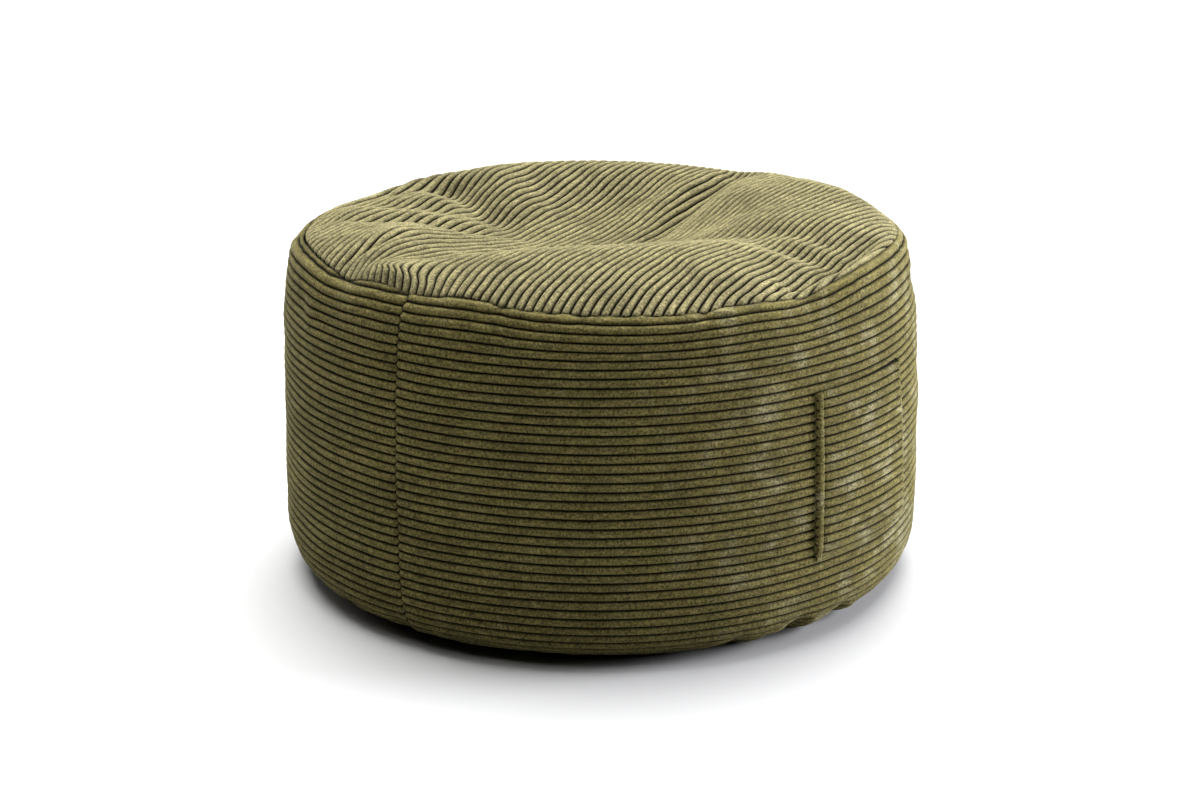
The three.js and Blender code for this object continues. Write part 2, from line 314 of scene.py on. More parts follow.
def grid_rim(rows, columns):
    """The numbers of the points round the edge of a grid, in order."""
    rim = [(0, c) for c in range(columns)]
    rim += [(r, columns - 1) for r in range(1, rows)]
    rim += [(rows - 1, c) for c in range(columns - 2, -1, -1)]
    rim += [(r, 0) for r in range(rows - 2, 0, -1)]
    return [r * columns + c for r, c in rim]


def bridge(upper, lower):
    """Faces that join two closed loops of points, one by one."""
    corners = zip(upper, upper[1:] + upper[:1], lower[1:] + lower[:1], lower)
    return [list(face) for face in corners]


def end_fans(rings, columns):
    """Closes a stack of rings from a middle point below and one above, its last two points."""
    under, over = rings * columns, rings * columns + 1
    last = (rings - 1) * columns
    faces = []
    for c in range(columns):
        d = (c + 1) % columns
        faces.append([under, d, c])
        faces.append([over, last + c, last + d])
    return faces


def with_ends(values, before, after, number):
    """A grid's numbers in one row, with one same number for the points added round it."""
    return np.concatenate([np.full(before, number), np.ravel(values), np.full(after, number)])


def mesh_piece(name, points, faces, across=None, along=None, sewn=None):
    """A mesh object from points in millimetres, with the cloth's own coordinates on it."""
    mesh = bpy.data.meshes.new(name)
    mesh.from_pydata((np.asarray(points) * MM).tolist(), [], [list(f) for f in faces])
    for key, values in (("across", across), ("along", along), ("sewn", sewn)):
        if values is not None:
            layer = mesh.attributes.new(key, "FLOAT", "POINT")
            layer.data.foreach_set("value", np.asarray(values, np.float32))
    build = bmesh.new()
    build.from_mesh(mesh)
    bmesh.ops.remove_doubles(build, verts=build.verts, dist=1e-7)
    bmesh.ops.recalc_face_normals(build, faces=build.faces)
    build.to_mesh(mesh)
    build.free()
    mesh.polygons.foreach_set("use_smooth", [True] * len(mesh.polygons))
    mesh.update()
    piece = bpy.data.objects.new(name, mesh)
    bpy.context.scene.collection.objects.link(piece)
    return piece


# %% [markdown]
# ## Ribs by Geometry Nodes
#
# Corduroy ribs repeat over the whole cover, so one node tree makes them all. It measures
# how far a point lies from the nearest groove, turns that into a rounded rib with a
# narrow groove, and lifts the point along the surface normal. Where cloth is sewn down
# the ribs are pressed flat. It also writes `crest`, 0 in a groove and 1 on a rib, for
# the material to colour by. `crest` falls towards 0 where cloth is sewn, so the seams
# are painted with the grooves' dark colour too, which is partly painted shade.

# %% The rib tree


def new_tree(name, inputs):
    tree = bpy.data.node_groups.new(name, "GeometryNodeTree")
    tree.interface.new_socket("Geometry", in_out="INPUT", socket_type="NodeSocketGeometry")
    for label, kind in inputs:
        tree.interface.new_socket(label, in_out="INPUT", socket_type="NodeSocket" + kind)
    tree.interface.new_socket("Geometry", in_out="OUTPUT", socket_type="NodeSocketGeometry")
    return tree, tree.nodes.new("NodeGroupInput"), tree.nodes.new("NodeGroupOutput")


def feed(tree, made, values):
    """Gives a node's inputs plain values, or the sockets that feed them."""
    for key, value in values.items():
        if isinstance(value, bpy.types.NodeSocket):
            tree.links.new(value, made.inputs[key])
        else:
            made.inputs[key].default_value = value


def node(tree, kind, values=None, **settings):
    """A new node with its settings and its inputs, which are told by name or number."""
    made = tree.nodes.new(kind)
    for key, value in settings.items():
        setattr(made, key, value)
    feed(tree, made, values or {})
    return made


def math_node(tree, operation, *values):
    return node(tree, "ShaderNodeMath", dict(enumerate(values)), operation=operation).outputs[0]


def named_number(tree, name):
    values = {"Name": name}
    return node(tree, "GeometryNodeInputNamedAttribute", values, data_type="FLOAT").outputs["Attribute"]


# %% [markdown]
# The rib's height is the sum of two shapes. A steep wall, one minus a bell round the groove,
# is most of it, and half a sine wave rounds the top. PINGPONG gives the distance to the
# nearest groove, rising and falling from one groove to the next.

# %% Build the rib tree
WALL_SHARE = 0.7  # of a rib's height; the rest is its rounded top


def make_rib_tree():
    tree, given, result = new_tree("corduroy_ribs", [
        ("Rib Pitch", "Float"), ("Rib Height", "Float"), ("Groove Width", "Float"), ("Cloth", "Material"),
    ])
    calc = partial(math_node, tree)
    half = calc("MULTIPLY", given.outputs["Rib Pitch"], 0.5)
    away = calc("PINGPONG", named_number(tree, "across"), half)
    steep = calc("POWER", calc("DIVIDE", away, given.outputs["Groove Width"]), 2.0)
    wall = calc("SUBTRACT", 1.0, calc("EXPONENT", calc("MULTIPLY", steep, -1.0)))
    round_top = calc("SINE", calc("MULTIPLY", calc("DIVIDE", away, half), math.pi / 2))
    rib = calc("ADD", calc("MULTIPLY", wall, WALL_SHARE), calc("MULTIPLY", round_top, 1 - WALL_SHARE))
    crest = calc("MULTIPLY", rib, calc("SUBTRACT", 1.0, named_number(tree, "sewn")))
    lift = node(tree, "ShaderNodeVectorMath", {
        0: node(tree, "GeometryNodeInputNormal").outputs[0],
        "Scale": calc("MULTIPLY", crest, given.outputs["Rib Height"]),
    }, operation="SCALE")
    keep = node(tree, "GeometryNodeStoreNamedAttribute", {
        "Geometry": given.outputs["Geometry"], "Name": "crest", "Value": crest,
    }, data_type="FLOAT", domain="POINT")
    move = node(tree, "GeometryNodeSetPosition", {"Geometry": keep.outputs[0], "Offset": lift.outputs[0]})
    real = node(tree, "GeometryNodeRealizeInstances", {"Geometry": move.outputs[0]})
    finish = node(tree, "GeometryNodeSetMaterial", {
        "Geometry": real.outputs[0], "Material": given.outputs["Cloth"],
    })
    tree.links.new(finish.outputs[0], result.inputs[0])
    return tree


def bake_tree(piece, tree, values):
    """Runs a node tree on a piece and keeps the result as its plain mesh."""
    modifier = piece.modifiers.new(tree.name, "NODES")
    modifier.node_group = tree
    for item in tree.interface.items_tree:
        if item.in_out == "INPUT" and item.name in values:
            modifier[item.identifier] = values[item.name]
    graph = bpy.context.evaluated_depsgraph_get()
    made = bpy.data.meshes.new_from_object(
        piece.evaluated_get(graph), preserve_all_data_layers=True, depsgraph=graph)
    piece.modifiers.clear()
    old = piece.data
    piece.data = made
    bpy.data.meshes.remove(old)
    made.name = piece.name
    return piece


rib_tree = make_rib_tree()
print("rib tree nodes:", len(rib_tree.nodes))

# %% [markdown]
# ## The napped cotton
#
# Corduroy pile scatters light sideways, so a rib seen at a slant turns pale: that is the
# sheen. The grooves are painted almost black: partly the darker ground weave, and mostly
# painted shade in the narrow grooves. Brushed nap is never even, so fine
# speckle, short streaks along the ribs and broad pressed patches vary the colour. Towards
# the pocket, where hands rub the pile, it is worn paler in spots.
#
# A picture of cloth could be wrapped round the bag, but it would stretch at the folds.
# Noise read at Object coordinates has no seams, and the `along` and `across` numbers of
# the mesh keep the streaks in line with the ribs.

# %% Cloth colours
# The top and the side are the same cloth. The top's colour is painted lighter and less yellow than the
# side's: painted light, for the light that falls on the top.
TOP_COLOUR_PAINTED_LIGHTER = (0.146, 0.129, 0.063)
SIDE_COLOUR = (0.095, 0.081, 0.0275)
# The groove colour is near black: partly the darker ground weave, mostly painted shade in the narrow grooves
# and at the seams.
GROOVE_WEAVE_AND_SHADE_COLOUR = (0.004, 0.0035, 0.0015)
SHEEN = 0.10  # on the crests of the ribs, and none in the grooves
SHEEN_TINT = (0.80, 0.76, 0.50)
RUBBED_COLOUR = (0.29, 0.275, 0.18)  # pile that is pressed flat is paler and greyer
RUBBED_SIDE = 0.32
RUBBED_TOP = 0.12
RUBBED_FROM, RUBBED_TO = 0.2, 0.315  # metres along X, from hardly rubbed to rubbed in full
SPECKLE_SCALE, PATCH_SCALE, RUBBED_SCALE = 480, 20, 34  # noise cells in a metre
STREAK_STRETCH = (60, 330, 1)  # streaks are longer along a rib than across it
PILE_ROUGHNESS = 0.4  # millimetres, as bump


def noise(tree, source, scale, stretch=(1, 1, 1)):
    mapping = node(tree, "ShaderNodeMapping", {"Vector": source, "Scale": stretch})
    values = {"Vector": mapping.outputs[0], "Scale": scale, "Detail": 3}
    return node(tree, "ShaderNodeTexNoise", values).outputs["Fac"]


def spread(tree, source, low, high, to_low, to_high):
    """Maps the range from low to high on to another one, and holds it there."""
    values = {"Value": source, "From Min": low, "From Max": high, "To Min": to_low, "To Max": to_high}
    return node(tree, "ShaderNodeMapRange", values).outputs[0]


def blend(tree, share, first, second):
    """Mixes two colours, from all first at 0 to all second at 1."""
    values = {0: share, 6: first, 7: second}  # a Mix node has its colours at inputs 6 and 7
    return node(tree, "ShaderNodeMix", values, data_type="RGBA").outputs[2]


def attribute(tree, name):
    return node(tree, "ShaderNodeAttribute", attribute_name=name).outputs["Fac"]


print(f"ribs are {sum(TOP_COLOUR_PAINTED_LIGHTER) / sum(GROOVE_WEAVE_AND_SHADE_COLOUR):.0f} times as light as grooves")

# %% [markdown]
# The colour is put together in two steps. First groove, rib and rubbed pile are mixed, by
# `crest` and by a noise. Then the mix is scaled up and down by speckle, streaks and patches.

# %% Cloth material


def pile_colour(tree, place, crest, colour, rubbed_share):
    """Dark in the grooves, partly weave and partly painted shade; the cloth's own colour on the ribs; paler
    where it is rubbed.
    """
    rubbed = spread(tree, noise(tree, place, RUBBED_SCALE), 0.5, 0.68, 0, 1)
    sides = node(tree, "ShaderNodeSeparateXYZ", {0: place})
    reach = spread(tree, sides.outputs["X"], RUBBED_FROM, RUBBED_TO, 0.1, 1)
    pressed = math_node(tree, "MULTIPLY", math_node(tree, "MULTIPLY", rubbed, reach), rubbed_share)
    pile = blend(tree, pressed, (*colour, 1), (*RUBBED_COLOUR, 1))
    return blend(tree, spread(tree, crest, 0.15, 0.85, 0, 1), (*GROOVE_WEAVE_AND_SHADE_COLOUR, 1), pile)


def corduroy(name, colour, rubbed_share):
    material = bpy.data.materials.new(name)
    material.use_nodes = True
    tree = material.node_tree
    calc = partial(math_node, tree)
    place = node(tree, "ShaderNodeTexCoord").outputs["Object"]
    cloth = node(tree, "ShaderNodeCombineXYZ", {0: attribute(tree, "along"), 1: attribute(tree, "across")})
    crest = attribute(tree, "crest")
    speckle = noise(tree, place, SPECKLE_SCALE)
    streak = noise(tree, cloth.outputs[0], 1, STREAK_STRETCH)
    patch = noise(tree, place, PATCH_SCALE)
    shade = calc("MULTIPLY", spread(tree, speckle, 0.35, 0.65, 0.5, 1.5),
                 spread(tree, streak, 0.3, 0.7, 0.74, 1.28))
    shade = calc("MULTIPLY", shade, spread(tree, patch, 0.3, 0.7, 0.84, 1.16))
    tint = node(tree, "ShaderNodeVectorMath", {
        0: pile_colour(tree, place, crest, colour, rubbed_share), "Scale": shade,
    }, operation="SCALE")
    bump = node(tree, "ShaderNodeBump", {
        "Height": speckle, "Strength": 0.5, "Distance": PILE_ROUGHNESS * MM,
    })
    feed(tree, tree.nodes["Principled BSDF"], {
        "Base Color": tint.outputs[0],
        "Roughness": 0.92,
        "Specular IOR Level": 0.05,
        "Sheen Weight": calc("MULTIPLY", crest, SHEEN),
        "Sheen Roughness": 0.45,
        "Sheen Tint": (*SHEEN_TINT, 1),
        "Normal": bump.outputs[0],
    })
    return material


# The top's material is a lit copy of the side's: the same cloth with painted light in its lighter colour.
corduroy_top = corduroy("corduroy_top", TOP_COLOUR_PAINTED_LIGHTER, RUBBED_TOP)
corduroy_side = corduroy("corduroy_side", SIDE_COLOUR, RUBBED_SIDE)

RIBS = {"Rib Pitch": RIB_PITCH * MM, "Rib Height": 2.6 * MM, "Groove Width": 0.95 * MM}
TOP_RIBS = {**RIBS, "Rib Height": 3.2 * MM, "Groove Width": 1.45 * MM}
print("materials:", corduroy_top.name, corduroy_side.name)

# %% [markdown]
# ## The side band
#
# The band is one long strip. Its ribs run level round the bag, and the strip climbs half
# a rib on its way round, so the ribs don't meet at the closing seam. Sewing shows in the
# shape: the last rib rolls in towards the top seam, both seams are pulled in, and the
# strip's two ends push past each other in a zigzag that leans a little.

# %% Sizes of the side band
FIRST_GROOVE = 360.3  # cloth length from the base edge to the first groove below the seam
MEAN_SEAM_LENGTH = 367.3  # and to the top seam, where it is at its mean height
ARC_RADIUS = 320.0  # turns an angle into a length of cloth round the band
CLOTH_DEPTH = 1.4  # grooves lie this far inside the CAD surface

LIP_RADIUS = 299.4  # the band stands here under the seam, however high the seam runs
LIP_REACH = 70.0  # and draws in to it over this length
LIP_TURN = 4.4  # the last rib rolls in by this much
LIP_ROUND = 9.0
FLAT_LIP_ANGLE = -124.0  # except here, where it lies flatter
FLAT_LIP_REACH = 26.0
FLAT_LIP_SHARE = 0.6

CLOSING_SEAM_ANGLE = -90.0
SEAM_PULL = 2.6  # the stitches draw the cloth in by this much
STITCH_REACH = 1.5
SLOPE_REACH = 14.0  # and the cloth slopes in gently beside them
ZIGZAG = 0.26  # degrees to each side, as the rib ends push past each other
ZIGZAG_REACH = 4.0
LEAN_REACH = 60.0
SEAM_LEAN = [  # height, degrees that the closing seam wanders aside
    (0, 1.15), (60, 0.95), (150, 0.5), (290, 0.3), (318, 0.5), (340, 0.9),
]
print("the band is", round(2 * math.pi * ARC_RADIUS), "mm long")

# %% [markdown]
# Beads push the band out in some places and leave it slack in others. Slow waves make it
# sag a little everywhere, and five swells and creases are listed one by one. At the base
# the band is longer than the seam that it is sewn to, so it is gathered, and in five
# places the gathers are deep enough to be tucks.

# %% Swells and gathers
SAG = 0.9
GATHER = 1.6
FRONT_GATHER = 2.0  # the band is most gathered into the base at the front
GATHERED_ANGLE = -22.0
GATHERED_REACH = 24.0
GATHER_HEIGHT = 17.0
TUCK_HEIGHT = 11.0
TUCK_SPREAD = 13.0
SIDE_SWELLS = [  # name, angle, reach in degrees, height, spread, rise
    ("left shoulder", -143, 35, 336, 18, 5.5),
    ("left flank", -143, 40, 265, 55, 2.5),
    ("far left crease", -114.5, 2.4, 298, 14, 3.5),
    ("right shoulder", 48, 26, 340, 9, 3.5),
    ("right lean", 37, 45, 308, 26, -4),
]
BASE_TUCKS = [  # name, angle, reach in degrees, depth
    ("left tuck", -106, 1.7, 4.0),
    ("seam tuck", -91, 1.4, 3.0),
    ("middle tuck", -28, 1.8, 4.0),
    ("front tuck", -16, 2.0, 9.0),
    ("right tuck", -4.5, 1.8, 7.0),
]


def swell_rise(angle, height, seam_gap):
    total = np.zeros(height.shape)
    for _, swell_angle, reach, swell_height, spread, rise in SIDE_SWELLS:
        near = bell(turn_between(angle, swell_angle), reach) * bell(height - swell_height, spread)
        total += rise * near * smooth_step(0, 10, seam_gap)
    return total


def gathers(angle, height, length):
    """Small uneven waves where the band is drawn into the base seam."""
    arc = np.radians(angle) * ARC_RADIUS
    amount = GATHER + FRONT_GATHER * bell(angle - GATHERED_ANGLE, GATHERED_REACH)
    return amount * bell(height, GATHER_HEIGHT) * waves(arc, length * 1.5, length=30, seed=8)


def tuck_in(angle, height):
    """How far the tucks take the cloth inwards and lift it, with a slight bank on one side."""
    inward, lifted = np.zeros(height.shape), np.zeros(height.shape)
    for _, tuck_angle, reach, depth in BASE_TUCKS:
        off = turn_between(angle, tuck_angle) / reach
        near = depth * bell(height - TUCK_HEIGHT, TUCK_SPREAD)
        inward += near * (bell(off) - 0.5 * bell(off - 1.9, 1.2))
        lifted += near * 0.5 * bell(off) * smooth_step(2, 10, height)
    return inward, lifted


print("swells and creases:", len(SIDE_SWELLS), "- tucks at the base:", len(BASE_TUCKS))

# %% [markdown]
# One function now bends the flat strip round the bag. It is given an angle and a length of
# cloth, not a height, so that a rib keeps its width where the band leans over.

# %% Shape of the side band
SEAM_SEWN = 0.65  # how flat the ribs are pressed at the top seam
SEAM_SEWN_REACH = 0.7
FLOOR_LIFT = 1.5  # the lowest rib clears the floor
FLOOR_REACH = 6.0


def side_points(angle, length, seam_gap):
    """Points of the side band at an angle and a cloth length up from the base edge."""
    height = np.interp(length, profile_length, profile_height)
    radius = np.interp(length, profile_length, profile_radius)
    at_seam = np.interp(length + seam_gap, profile_length, profile_radius)
    radius = radius + (LIP_RADIUS - at_seam) * smooth_step(LIP_REACH, 0, seam_gap)

    aside = np.radians(np.abs(turn_between(angle, CLOSING_SEAM_ANGLE))) * radius
    stitched = bell(aside, STITCH_REACH)
    pull = SEAM_PULL * stitched + bell(aside, SLOPE_REACH)
    push = np.sin(length * 2 * math.pi / RIB_PITCH)
    angle = angle + ZIGZAG * push * bell(aside, ZIGZAG_REACH)
    angle = angle + smooth_read(SEAM_LEAN, height) * bell(aside, LEAN_REACH)

    lip = LIP_TURN * np.clip(1 - seam_gap / LIP_ROUND, 0, 1) ** 2
    lip = lip * (1 - FLAT_LIP_SHARE * bell(turn_between(angle, FLAT_LIP_ANGLE), FLAT_LIP_REACH))
    sag = SAG * waves(np.radians(angle) * ARC_RADIUS, length * 2.2, length=120, seed=5)
    radius = radius + swell_rise(angle, height, seam_gap) - CLOTH_DEPTH - pull - lip
    radius = radius + sag + gathers(angle, height, length)
    inward, lifted = tuck_in(angle, height)
    height = height + lifted
    height = height + FLOOR_LIFT * bell(height, FLOOR_REACH)
    # Sewn lines lower the crest, so they take the dark groove colour as well: partly painted shade.
    sewn = np.clip(stitched + SEAM_SEWN * bell(seam_gap, SEAM_SEWN_REACH), 0, 1)
    return round_points(radius - inward, np.radians(angle), height), sewn


low_point = side_points(np.array([[0.0]]), np.array([[0.0]]), np.array([[MEAN_SEAM_LENGTH]]))[0][0, 0]
print(f"the band's lowest edge is {low_point[2]:.1f} mm over the floor at the pocket's side")

# %% [markdown]
# ## The band as a grid
#
# The columns of the grid stand upright and are closest together at the closing seam. The
# rows run along the ribs. The top seam wanders up and down, and the ribs just under it
# wander with it, less and less further down. Rows that would pass the seam are laid on
# it and merged there.

# %% Grid of the side band
BAND_COLUMNS = 336
SEAM_EXTRA = (0.1, 0.2, 0.35, 0.6, 1.0, 1.5)  # more columns, in degrees from the closing seam
SEAM_CLEAR = 1.8  # the even columns keep this clear of it
BAND_RIB_STEPS = (0, 0.075, 0.22, 0.5, 0.78, 0.925)  # shares of the pitch where rows lie
BAND_RIBS = range(-41, 4)  # counted up from the first groove
FOLLOW_DEPTH = 65.0  # this far down, the ribs no longer follow the seam
UNEVEN_ANGLE = -50.0  # the seam is sewn least evenly round here
UNEVEN_REACH = 35.0
SEAM_ARC_RADIUS = 300.0


def band_columns():
    """How far round each column stands from the closing seam, and how far its ribs have climbed."""
    even = np.linspace(0, 360, BAND_COLUMNS, endpoint=False)[1:]
    extra = np.array(SEAM_EXTRA)
    laps = np.sort(np.concatenate([[0], extra, even[even > SEAM_CLEAR][:-1], 360 - extra]))
    climb = 0.5 * RIB_PITCH * laps / 360
    climb[0] = 0.25 * RIB_PITCH  # on the seam itself, between its two sides
    return laps, climb


def seam_lengths(angle):
    """Cloth length up to the top seam: as it is sewn, and the calmer line that the ribs follow."""
    seam = np.interp(seam_height(angle), profile_height, profile_length)
    uneven = 0.5 + bell(angle - UNEVEN_ANGLE, UNEVEN_REACH)
    seam = seam + uneven * waves(np.radians(angle) * SEAM_ARC_RADIUS, 0 * angle, length=27, seed=3)
    calm = np.mean([seam_height(angle + step) for step in np.linspace(-6, 6, 9)], axis=0)
    return seam, np.interp(calm, profile_height, profile_length)


def lay_rows(seam, calm, climb):
    """Each row's place across the ribs, and its cloth length in each column."""
    across = np.concatenate([(k + np.array(BAND_RIB_STEPS)) * RIB_PITCH for k in BAND_RIBS])
    fine = np.linspace(-12, 410, 2400)  # a fine ruler of cloth length, longer than the band is high
    length = np.empty((len(across), len(seam)))
    for c in range(len(seam)):
        follow = (calm[c] - MEAN_SEAM_LENGTH) * smooth_step(FOLLOW_DEPTH, 0, seam[c] - fine)
        length[:, c] = np.interp(across, fine - FIRST_GROOVE - climb[c] - follow, fine)
    length = np.clip(length, 0, seam[None, :])
    keep = (length > 0).any(axis=1)
    return across[keep], length[keep]


print("columns of the side band:", len(band_columns()[0]))

# %% [markdown]
# Rings behind the seam and under the base close the mesh, so that the filled band is a
# true solid. They stay out of sight behind the top and the base panel.

# %% Side band
TURNED_IN = ((0.3, 0.8), (0.5, 3.0), (0.7, 6.0))  # the cloth past the seam: inwards, down
INNER_RADIUS, INNER_HEIGHT = 284.0, 303.0
UNDER_RADII, UNDER_HEIGHT = (240.0, 265.0), 4.2


def make_side_band():
    laps, climb = band_columns()
    angle = CLOSING_SEAM_ANGLE + laps
    turn = np.radians(angle)
    seam, calm = seam_lengths(angle)
    across, length = lay_rows(seam, calm, climb)
    points, sewn = side_points(angle[None, :], length, seam[None, :] - length)
    on_seam = seam - (FIRST_GROOVE + climb + calm - MEAN_SEAM_LENGTH)
    wale = np.where(length >= seam[None, :], on_seam[None, :], across[:, None])
    along = np.broadcast_to(np.radians(laps) * ARC_RADIUS, length.shape)

    edge_radius, edge_height = np.hypot(points[-1, :, 0], points[-1, :, 1]), points[-1, :, 2]
    under = [round_points(radius, turn, UNDER_HEIGHT) for radius in UNDER_RADII]
    inner = [round_points(edge_radius - inwards, turn, edge_height - down) for inwards, down in TURNED_IN]
    inner.append(round_points(INNER_RADIUS, turn, INNER_HEIGHT))
    rings = [*under, *points, *inner]
    middles = [[[0, 0, UNDER_HEIGHT]], [[0, 0, INNER_HEIGHT]]]
    faces = grid_faces(len(rings), len(laps), wrap=True).tolist() + end_fans(len(rings), len(laps))
    added = len(under) * len(laps), len(inner) * len(laps) + len(middles)
    return mesh_piece(
        "side_band_cover", np.concatenate([*rings, *middles]), faces,
        with_ends(wale, *added, 0) * MM, with_ends(along, *added, 0) * MM, with_ends(sewn, *added, 1))


side_band = bake_tree(make_side_band(), rib_tree, {**RIBS, "Cloth": corduroy_side})
print("side band:", len(side_band.data.polygons), "faces")

# %% [markdown]
# ## The top panel
#
# The round was cut with its ribs crossing the seat. When the cloth slumped it was drawn
# round a little, so the ribs fan out towards the back. The grid follows the ribs: each
# line of points runs along one rib from seam to seam, and the first and last lines
# shrink to a point where a rib only touches the seam.

# %% Ribs of the top panel
RIB_TURN = 37.0  # the panel's own frame is turned by this much
RIB_LEAN = 60.0  # degrees between a rib and the panel's cross line, in the middle
RIB_LEAN_CHANGE = -0.025  # degrees for each millimetre towards the back
RIB_SPREAD = 0.00039  # the ribs open out by this share for each millimetre
LINE_PITCH = RIB_PITCH / math.sin(math.radians(RIB_LEAN))
TOP_EDGE = SEAM_RADIUS - 1.0


def rib_drift(q):
    """How far a rib has wandered sideways at a distance q towards the back."""
    change = math.radians(RIB_LEAN_CHANGE)
    lean = math.radians(RIB_LEAN)
    return (np.log(np.sin(lean + change * q)) - math.log(math.sin(lean))) / change


def rib_line(start, q):
    return start * (1 + RIB_SPREAD * q) + rib_drift(q)


def rib_start(p, q):
    return (p - rib_drift(q)) / (1 + RIB_SPREAD * q)


def rib_ends(start):
    """Where each rib line enters and leaves the round, by halving."""
    q = np.linspace(-TOP_EDGE, TOP_EDGE, 4001)
    middle = q[np.argmin(np.hypot(rib_line(start[:, None], q[None, :]), q[None, :]), axis=1)]
    ends = []
    for side in (-1, 1):
        near, far = middle.copy(), np.full(len(start), side * TOP_EDGE * 1.02)
        for _ in range(40):
            half = (near + far) / 2
            within = np.hypot(rib_line(start, half), half) <= TOP_EDGE
            near, far = np.where(within, half, near), np.where(within, far, half)
        ends.append(near)
    return ends


print(f"from front to back the ribs drift {rib_drift(TOP_EDGE) - rib_drift(-TOP_EDGE):.0f} mm sideways")

# %% [markdown]
# The grid is laid flat first. Then the flat round is let down on to the slumped top. The
# cloth that isn't held by the seam wanders a little on the beads, and behind the left lobe
# it is drawn aside, which bends the ribs there.

# %% Shape of the top panel
POINTS_ALONG = 150  # on each rib
NARROW_LINE = 0.15  # lines nearer than this to the seam are left out
LOOSE_REACH = 25.0  # cloth this far from the seam is free to move
WANDER = 0.7
RIPPLE = 0.5
DRAWN_PLACE = (-165.0, -188.0)  # in the panel's own frame
DRAWN_REACH = 44.0
DRAWN_ASIDE = -16.0
EDGE_ROUND = 5.0
EDGE_DIP = 1.2
FULL_EDGE_ANGLE = -2.0  # the edge hardly dips here
FULL_EDGE_REACH = 15.0
FULL_EDGE_SHARE = 0.9


def lay_flat():
    """Where each line starts, and its points in the panel's own frame."""
    around = np.linspace(0, 2 * math.pi, 20001)
    starts = rib_start(TOP_EDGE * np.cos(around), TOP_EDGE * np.sin(around))
    low, high = starts.min(), starts.max()
    ribs = range(math.ceil(low / LINE_PITCH) - 1, math.floor(high / LINE_PITCH) + 2)
    start = np.concatenate([(k + np.array(RIB_STEPS)) * LINE_PITCH for k in ribs])
    start = start[(start > low + NARROW_LINE) & (start < high - NARROW_LINE)]
    near, far = rib_ends(start)
    w = np.linspace(-1, 1, POINTS_ALONG)
    t = 0.2 * w + 0.8 * np.sin(w * math.pi / 2)  # closer together at the seam
    q = (near + far)[:, None] / 2 + (far - near)[:, None] / 2 * t[None, :]
    return start, rib_line(start[:, None], q), q


def let_down(p, q, gap):
    """Lays the flat cloth on the slumped top."""
    loose = smooth_step(0, LOOSE_REACH, gap)
    drawn = loose * bell(np.hypot(p - DRAWN_PLACE[0], q - DRAWN_PLACE[1]), DRAWN_REACH)
    p_moved = p + WANDER * loose * waves(p, q, length=70, seed=11) + DRAWN_ASIDE * drawn
    q_moved = q + WANDER * loose * waves(p, q, length=70, seed=12)
    turn = math.radians(RIB_TURN)
    x = p_moved * math.cos(turn) - q_moved * math.sin(turn)
    y = p_moved * math.sin(turn) + q_moved * math.cos(turn)
    angle = np.degrees(np.arctan2(y, x))
    dip = EDGE_DIP * (1 - FULL_EDGE_SHARE * bell(angle - FULL_EDGE_ANGLE, FULL_EDGE_REACH))
    z = top_height(x, y) - CLOTH_DEPTH - dip * np.clip(1 - gap / EDGE_ROUND, 0, 1) ** 2
    z = z + RIPPLE * loose * waves(p, q, length=45, seed=13) + roll_rise(angle, gap)
    return np.stack([x, y, z], -1)


# %% [markdown]
# A skirt turns down behind the seam, as a seam allowance does, and closes the panel below.

# %% Top panel
SKIRT = ((0.9965, 2.5), (0.99, 7.0))  # the cloth past the seam: share of the radius, down
SKIRT_SHARE, SKIRT_HEIGHT = 0.95, 304.0  # and where it ends inside the bag


def make_top_panel():
    start, p, q = lay_flat()
    gap = TOP_EDGE - np.hypot(p, q)
    points = let_down(p, q, gap).reshape(-1, 3)
    sewn = SEAM_SEWN * bell(np.maximum(gap, 0), SEAM_SEWN_REACH)
    across = np.broadcast_to((start * RIB_PITCH / LINE_PITCH)[:, None], q.shape)
    along = q / math.sin(math.radians(RIB_LEAN))

    rim_numbers = grid_rim(*q.shape)[::-1]  # so that the skirt's faces turn as the panel's do
    rim = points[rim_numbers]
    skirt = [rim * (share, share, 1) - (0, 0, down) for share, down in SKIRT]
    skirt.append(rim * (SKIRT_SHARE, SKIRT_SHARE, 0) + (0, 0, SKIRT_HEIGHT))
    faces = grid_faces(*q.shape).tolist()
    loop = rim_numbers
    for k in range(len(skirt)):
        first = len(points) + k * len(rim)
        lower = list(range(first, first + len(rim)))
        faces += bridge(loop, lower)
        loop = lower
    added = len(skirt) * len(rim) + 1
    middle = len(points) + added - 1
    faces += [[a, b, middle] for a, b in zip(loop, loop[1:] + loop[:1])]
    return mesh_piece(
        "top_panel_cover", np.concatenate([points, *skirt, [[0, 0, SKIRT_HEIGHT]]]), faces,
        with_ends(across, 0, added, 0) * MM, with_ends(along, 0, added, 0) * MM, with_ends(sewn, 0, added, 1))


top_panel = bake_tree(make_top_panel(), rib_tree, {**TOP_RIBS, "Cloth": corduroy_top})
print("top panel:", len(top_panel.data.polygons), "faces")

# %% [markdown]
# ## The patch pocket
#
# A square of the same cloth is sewn to the band on three edges. It stands a few
# millimetres proud, and its ribs are not matched to those beside it. The left edge is
# rolled under like a lumpy cord. The right edge has a row of stitches a little way in, which
# ends the ribs in a neat line and is painted dark there, a painted shadow line along that edge.
# The mouth lies closer to the band, with a narrow hem.

